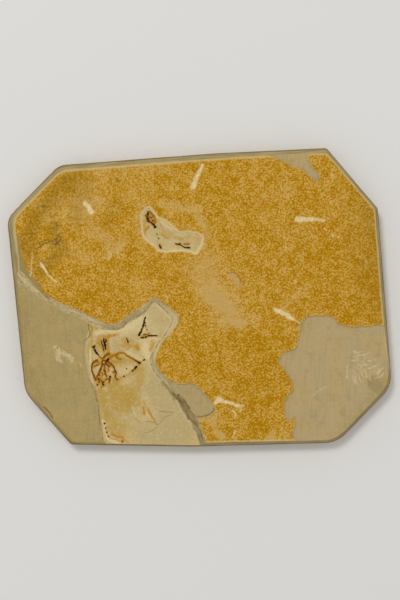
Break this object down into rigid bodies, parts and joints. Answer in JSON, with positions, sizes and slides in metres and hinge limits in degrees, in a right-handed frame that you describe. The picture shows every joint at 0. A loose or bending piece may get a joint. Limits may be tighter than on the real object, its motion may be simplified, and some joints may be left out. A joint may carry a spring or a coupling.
{
  "type": "fossil pycnodont fish slab",
  "caption": "Eight-cornered sawn limestone slab, lying face up, with a small deep-bodied fossil fish in an area cut down to its lamina.",
  "frame": {"origin": "on the slab's flat back, under the middle of its outline", "axes": "+Z out of the fossil face, +X across the face to the right, +Y up the face"},
  "size_m": [0.2501, 0.1949, 0.014],
  "materials": {
    "limestone": "matte",
    "brown_bone": "satin",
    "black_bone": "satin"
  },
  "bodies": {
    "root": {"slab": "limestone", "skull": "brown_bone", "jaws": "brown_bone", "hyoid_bone": "brown_bone", "shoulder_girdle": "brown_bone", "backbone": "brown_bone", "nape_spine": "black_bone", "dorsal_spine_1": "black_bone", "dorsal_spine_2": "black_bone", "rear_dorsal_ray": "black_bone", "tail_upper_lobe": "black_bone", "tail_lower_lobe": "black_bone", "belly_scute_1": "black_bone", "belly_scute_2": "black_bone", "belly_scute_3": "black_bone", "belly_scute_4": "black_bone", "belly_scute_5": "black_bone", "second_fossil_head": "black_bone", "second_fossil_fin_spine": "black_bone", "second_fossil_tail": "black_bone", "second_fossil_scute_1": "black_bone", "second_fossil_scute_2": "black_bone", "third_fossil_scute_1": "black_bone", "third_fossil_scute_2": "black_bone", "third_fossil_scute_3": "black_bone", "third_fossil_scute_4": "black_bone", "third_fossil_scute_5": "brown_bone"}
  },
  "joints": []
}
